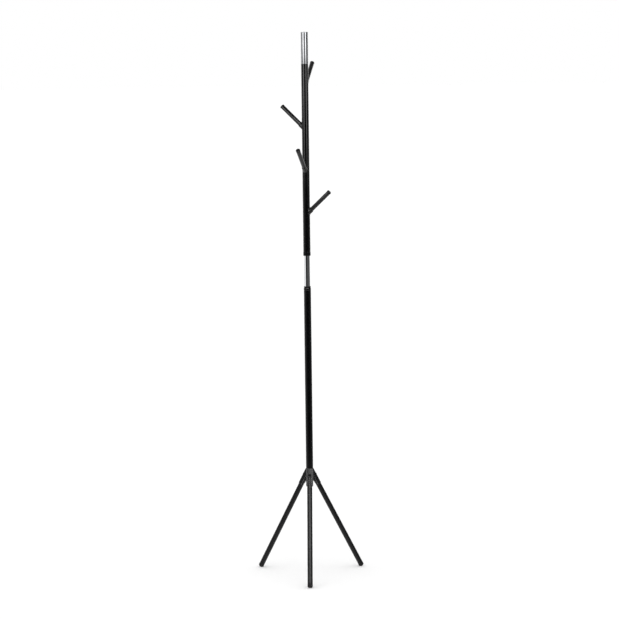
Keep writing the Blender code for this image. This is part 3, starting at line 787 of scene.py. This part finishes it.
def buildScrew(side):
    shape = screwShape
    top = shape["seat"] + shape["height"]
    floor = top - shape["keyDepth"]
    bm = bmesh.new()
    rings = [keyRing(bm, shape["key"] * shape["keyConeTip"], floor - shape["keyCone"])]
    rings.append(keyRing(bm, shape["key"], floor))
    rings.append(keyRing(bm, shape["key"], top - shape["keyBevelDepth"]))
    rings.append(keyRing(bm, shape["key"] + shape["keyBevel"], top))
    turned = [(shape["flat"], top)]
    for step in range(1, domeSteps):  # the domed shoulder
        angle = math.pi / 2 * step / domeSteps
        radius = shape["flat"] + (shape["head"] - shape["flat"]) * math.sin(angle)
        turned.append((radius, top - (shape["height"] - shape["rim"]) * (1 - math.cos(angle))))
    turned.append((shape["head"], shape["seat"] + shape["rim"]))
    turned.append((shape["head"] - shape["rimEdge"], shape["seat"]))
    turned.append((shape["shank"], shape["seat"]))
    height = shape["seat"] - shape["plain"]
    while height - shape["pitch"] > shape["tip"] + shape["tipBevel"]:  # thread
        turned += [(shape["shank"], height), (shape["root"], height - shape["pitch"] / 2)]
        height -= shape["pitch"]
    turned += [(shape["shank"], height), (shape["shank"], shape["tip"] + shape["tipBevel"])]
    turned.append((shape["root"] - shape["tipStep"], shape["tip"]))
    rings += [flatRing(bm, screwSides, radius, height) for radius, height in turned]
    bridgeRings(bm, rings)
    bm.faces.new(rings[0])
    bm.faces.new(rings[-1])
    piece = finishMesh("legScrew_" + side, bm, screwFrame(side), sharpAngle=35.0)
    place(piece, "stand", "black_oxide_steel", oxide, "leg_screw_" + side)


for side in legSides:
    buildScrew(side)
print("screws built")


# Studs: rolled metric thread with bevelled ends, in mm.
hubThread = {"pitch": 1.5, "depth": 0.8, "bevel": 0.9}
pegThread = {"pitch": 1.0, "depth": 0.55, "bevel": 0.6}
threadFlat = 0.1  # half a crest's width, and a root's fillet, as shares of the pitch
studSides = 48


def buildStud(name, body, nearest, shape):
    matrix, length, radius = axisFrame(name, nearest)
    root = radius - shape["depth"]
    turns = int((length - 2 * shape["bevel"]) / shape["pitch"])
    start = (length - turns * shape["pitch"]) / 2
    flat = threadFlat * shape["pitch"]
    corners = [(0, 0, 0), (root, 0, 0)]
    for turn in range(turns + 1):
        height = start + turn * shape["pitch"]
        corners += [(radius, height - flat, 0), (radius, height + flat, 0)]
        if turn < turns:
            corners.append((root, height + shape["pitch"] / 2, flat))
    corners += [(root, length, 0), (0, length, 0)]
    piece = turnedPiece("thread_" + name, corners, matrix, closed=False, sides=studSides)
    place(piece, body, "zinc_steel", zinc, name)


buildStud("hub_stud", "stand", mastAt(0), hubThread)
for number in pegNumbers:
    buildStud("peg_stud_" + number, "head", mastAt(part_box("peg_stud_" + number)[0].z), pegThread)
print("studs threaded")


# Pieces inside the assembly keep their shape and take the finish of what they are.
hiddenPieces = (
    (zinc, ("mast_nut", "stop_ring", "top_joiner")),
    (nylon, ("lock_collet", "glide_bush", "spacer_bush", "inner_end_plug")),
    (nylon, tuple("leg_insert_" + side for side in legSides)),
)

for material, names in hiddenPieces:
    for name in names:
        nodes[name].data.materials.clear()
        nodes[name].data.materials.append(material)
print("inner pieces finished")


# Matt painted board: a plain pale floor with a barely seen unevenness.
paleFloor = {"dark": "#f8f8f8", "light": "#fbfbfb", "cloud": 900, "roughness": (0.9, 0.95)}
floorReach = 60.0  # metres from the middle to each side


def buildFloor():
    bm = bmesh.new()
    bmesh.ops.create_grid(bm, x_segments=8, y_segments=8, size=floorReach)
    floor = finishMesh("studioFloor", bm, Matrix.Translation((0, 0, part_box("foot_front")[0].z)))
    material, tree, shader, coords = startMaterial("mattPaleFloor")
    cloud = noiseOf(tree, coords, paleFloor["cloud"])
    paintShader(tree, shader, paleFloor, cloud, cloud)
    shader.inputs["Specular IOR Level"].default_value = 0.0
    floor.data.materials.append(material)
    floor.visible_glossy = False


# A white studio sky. Gloss shows a dim room instead, which is paler to the left, darkest in front, and
# brighter far down, where a pale floor would show. A span is where, between -1 and 1, a direction's Y or Z
# takes it from one brightness to the other.
studio = {"backdrop": 1.0, "daylight": 1.1, "roomLeft": 0.34, "roomRight": 0.12, "roomFront": 0.07,
          "roomSpan": (-0.9, 0.2), "floorGlow": 0.36, "glowSpan": (-0.25, -0.5)}


def buildSky():
    world = bpy.data.worlds.new("studioSky")
    bpy.context.scene.world = world
    world.use_nodes = True
    tree = world.node_tree
    tree.nodes.clear()
    rays = addNode(tree, "ShaderNodeLightPath").outputs
    direction = addNode(tree, "ShaderNodeTexCoord").outputs["Generated"]
    facing = addNode(tree, "ShaderNodeSeparateXYZ", None, {0: direction}).outputs
    left, right = studio["roomLeft"], studio["roomRight"]
    limits = {"From Min": -1.0, "From Max": 1.0, "To Min": left, "To Max": right}
    walls = addNode(tree, "ShaderNodeMapRange", limits, {"Value": facing["X"]}).outputs["Result"]
    near, far = studio["roomSpan"]
    limits = {"From Min": near, "From Max": far, "To Min": studio["roomFront"], "To Max": 1.0}
    depth = addNode(tree, "ShaderNodeMapRange", limits, {"Value": facing["Y"]}).outputs["Result"]
    room = addNode(tree, "ShaderNodeMath", {"operation": "MULTIPLY"}, {0: walls, 1: depth}).outputs[0]
    high, low = studio["glowSpan"]
    limits = {"From Min": high, "From Max": low, "To Min": 0.0, "To Max": studio["floorGlow"]}
    below = addNode(tree, "ShaderNodeMapRange", limits, {"Value": facing["Z"]}).outputs["Result"]
    mirrored = addNode(tree, "ShaderNodeMath", {"operation": "ADD"}, {0: room, 1: below}).outputs[0]
    backdrop = addNode(tree, "ShaderNodeBackground", {"Strength": studio["backdrop"]})
    daylight = addNode(tree, "ShaderNodeBackground", {"Strength": studio["daylight"]})
    reflected = addNode(tree, "ShaderNodeBackground", None, {"Strength": mirrored})
    for background in (backdrop, daylight, reflected):
        background.inputs["Color"].default_value = (1, 1, 1, 1)
    links = {0: rays["Is Glossy Ray"], 1: daylight.outputs[0], 2: reflected.outputs[0]}
    lighting = addNode(tree, "ShaderNodeMixShader", None, links)
    links = {0: rays["Is Camera Ray"], 1: lighting.outputs[0], 2: backdrop.outputs[0]}
    mixed = addNode(tree, "ShaderNodeMixShader", None, links)
    addNode(tree, "ShaderNodeOutputWorld", None, {"Surface": mixed.outputs[0]})


# Two tall softboxes stand in front of the mast, left and right of the view, and two behind it. Three weak
# ones show in the chrome alone, and one hangs in front, above the view, and lights the slopes of the legs.
# Angles are in degrees from the camera's direction, and a span and an aim are heights in metres. A fade is
# the share of a box's height, from its lower edge, over which it comes to full strength.
softboxes = {
    "left": {"angle": -40, "radiance": 2.5, "width": 0.95, "span": (0.95, 3.6), "fade": 0.26, "aim": 2.27},
    "right": {"angle": 40, "radiance": 2.2, "width": 0.95, "span": (0.95, 3.6), "fade": 0.26, "aim": 2.27},
    "rearLeft": {"angle": -140, "radiance": 1.6, "width": 0.8, "span": (0.4, 3.2), "fade": 0.4, "aim": 1.8},
    "rearRight": {"angle": 140, "radiance": 1.6, "width": 0.8, "span": (0.4, 3.2), "fade": 0.4, "aim": 1.8},
    "neck": {"angle": -94, "radiance": 0.95, "width": 2.6, "span": (0.3, 1.6), "fade": 0.05, "aim": 0.95,
             "only": "neckTube"},
    "neckFront": {"angle": 30, "radiance": 0.1, "width": 2.4, "span": (0.3, 1.6), "fade": 0.05, "aim": 0.95,
                  "only": "neckTube"},
    "topFront": {"angle": 4, "radiance": 0.34, "width": 1.2, "span": (1.2, 2.3), "fade": 0.05, "aim": 1.65,
                 "only": "topTube"},
    "over": {"angle": 6, "radiance": 6.0, "width": 1.8, "span": (2.0, 2.7), "fade": 0.1, "aim": 0.1},
}
softboxDistance = 2.6  # metres from the mast


def buildSoftboxes(cameraAngle):
    for name, box in softboxes.items():
        low, high = box["span"]
        light = bpy.data.lights.new("softbox_" + name, "AREA")
        light.shape = "RECTANGLE"
        light.size = box["width"]
        light.size_y = high - low
        light.energy = box["radiance"] * math.pi * light.size * light.size_y
        light.use_nodes = True
        tree = light.node_tree
        parts = addNode(tree, "ShaderNodeNewGeometry").outputs["Parametric"]
        height = addNode(tree, "ShaderNodeSeparateXYZ", None, {0: parts}).outputs["Y"]
        limits = {"From Min": 0.0, "From Max": box["fade"], "To Min": 0.0, "To Max": 1.0}
        fade = addNode(tree, "ShaderNodeMapRange", limits, {"Value": height}).outputs["Result"]
        tree.links.new(fade, tree.nodes["Emission"].inputs["Strength"])
        lamp = bpy.data.objects.new("softbox_" + name, light)
        bpy.context.scene.collection.objects.link(lamp)
        linked = bpy.data.collections.new("linkedTo_" + name)
        linked.objects.link(bpy.data.objects[box.get("only", "studioFloor")])
        if "only" not in box:  # the floor is lit by the sky alone
            linked.collection_objects[0].light_linking.link_state = "EXCLUDE"
        lamp.light_linking.receiver_collection = linked
        angle = cameraAngle + math.radians(box["angle"])
        away = Vector((math.sin(angle), -math.cos(angle), 0)) * softboxDistance
        lamp.location = mastAt((high + low) / 2) + away
        lamp.rotation_euler = (lamp.location - mastAt(box["aim"])).to_track_quat("Z", "Y").to_euler()
        lamp.visible_camera = False


# The camera stands a little above the mast's top and looks down at it, with a slight roll.
cameraPlace = {"distance": 6.774, "height": 1.707, "around": 0.85, "pitch": -7.281, "yaw": 0.049,
               "roll": -0.705, "lens": 127.42, "sensor": 36.0, "nearest": 0.05, "farthest": 200.0}


def buildCamera():
    camera = bpy.data.objects.new("camera", bpy.data.cameras.new("camera"))
    bpy.context.scene.collection.objects.link(camera)
    camera.data.lens = cameraPlace["lens"]
    camera.data.sensor_width = cameraPlace["sensor"]
    camera.data.clip_start = cameraPlace["nearest"]
    camera.data.clip_end = cameraPlace["farthest"]
    around = math.radians(cameraPlace["around"])
    away = Vector((math.sin(around), -math.cos(around), 0))
    camera.location = mastAt(cameraPlace["height"]) + away * cameraPlace["distance"]
    heading = Matrix.Rotation(around - math.radians(cameraPlace["yaw"]), 3, "Z")
    tilt = Matrix.Rotation(math.radians(90 + cameraPlace["pitch"]), 3, "X")
    roll = Matrix.Rotation(math.radians(cameraPlace["roll"]), 3, "Z")
    camera.rotation_euler = (heading @ tilt @ roll).to_euler()
    bpy.context.scene.camera = camera
    return around


buildFloor()
buildSky()
buildSoftboxes(buildCamera())
bpy.context.scene.view_settings.view_transform = "Standard"
print("studio ready")
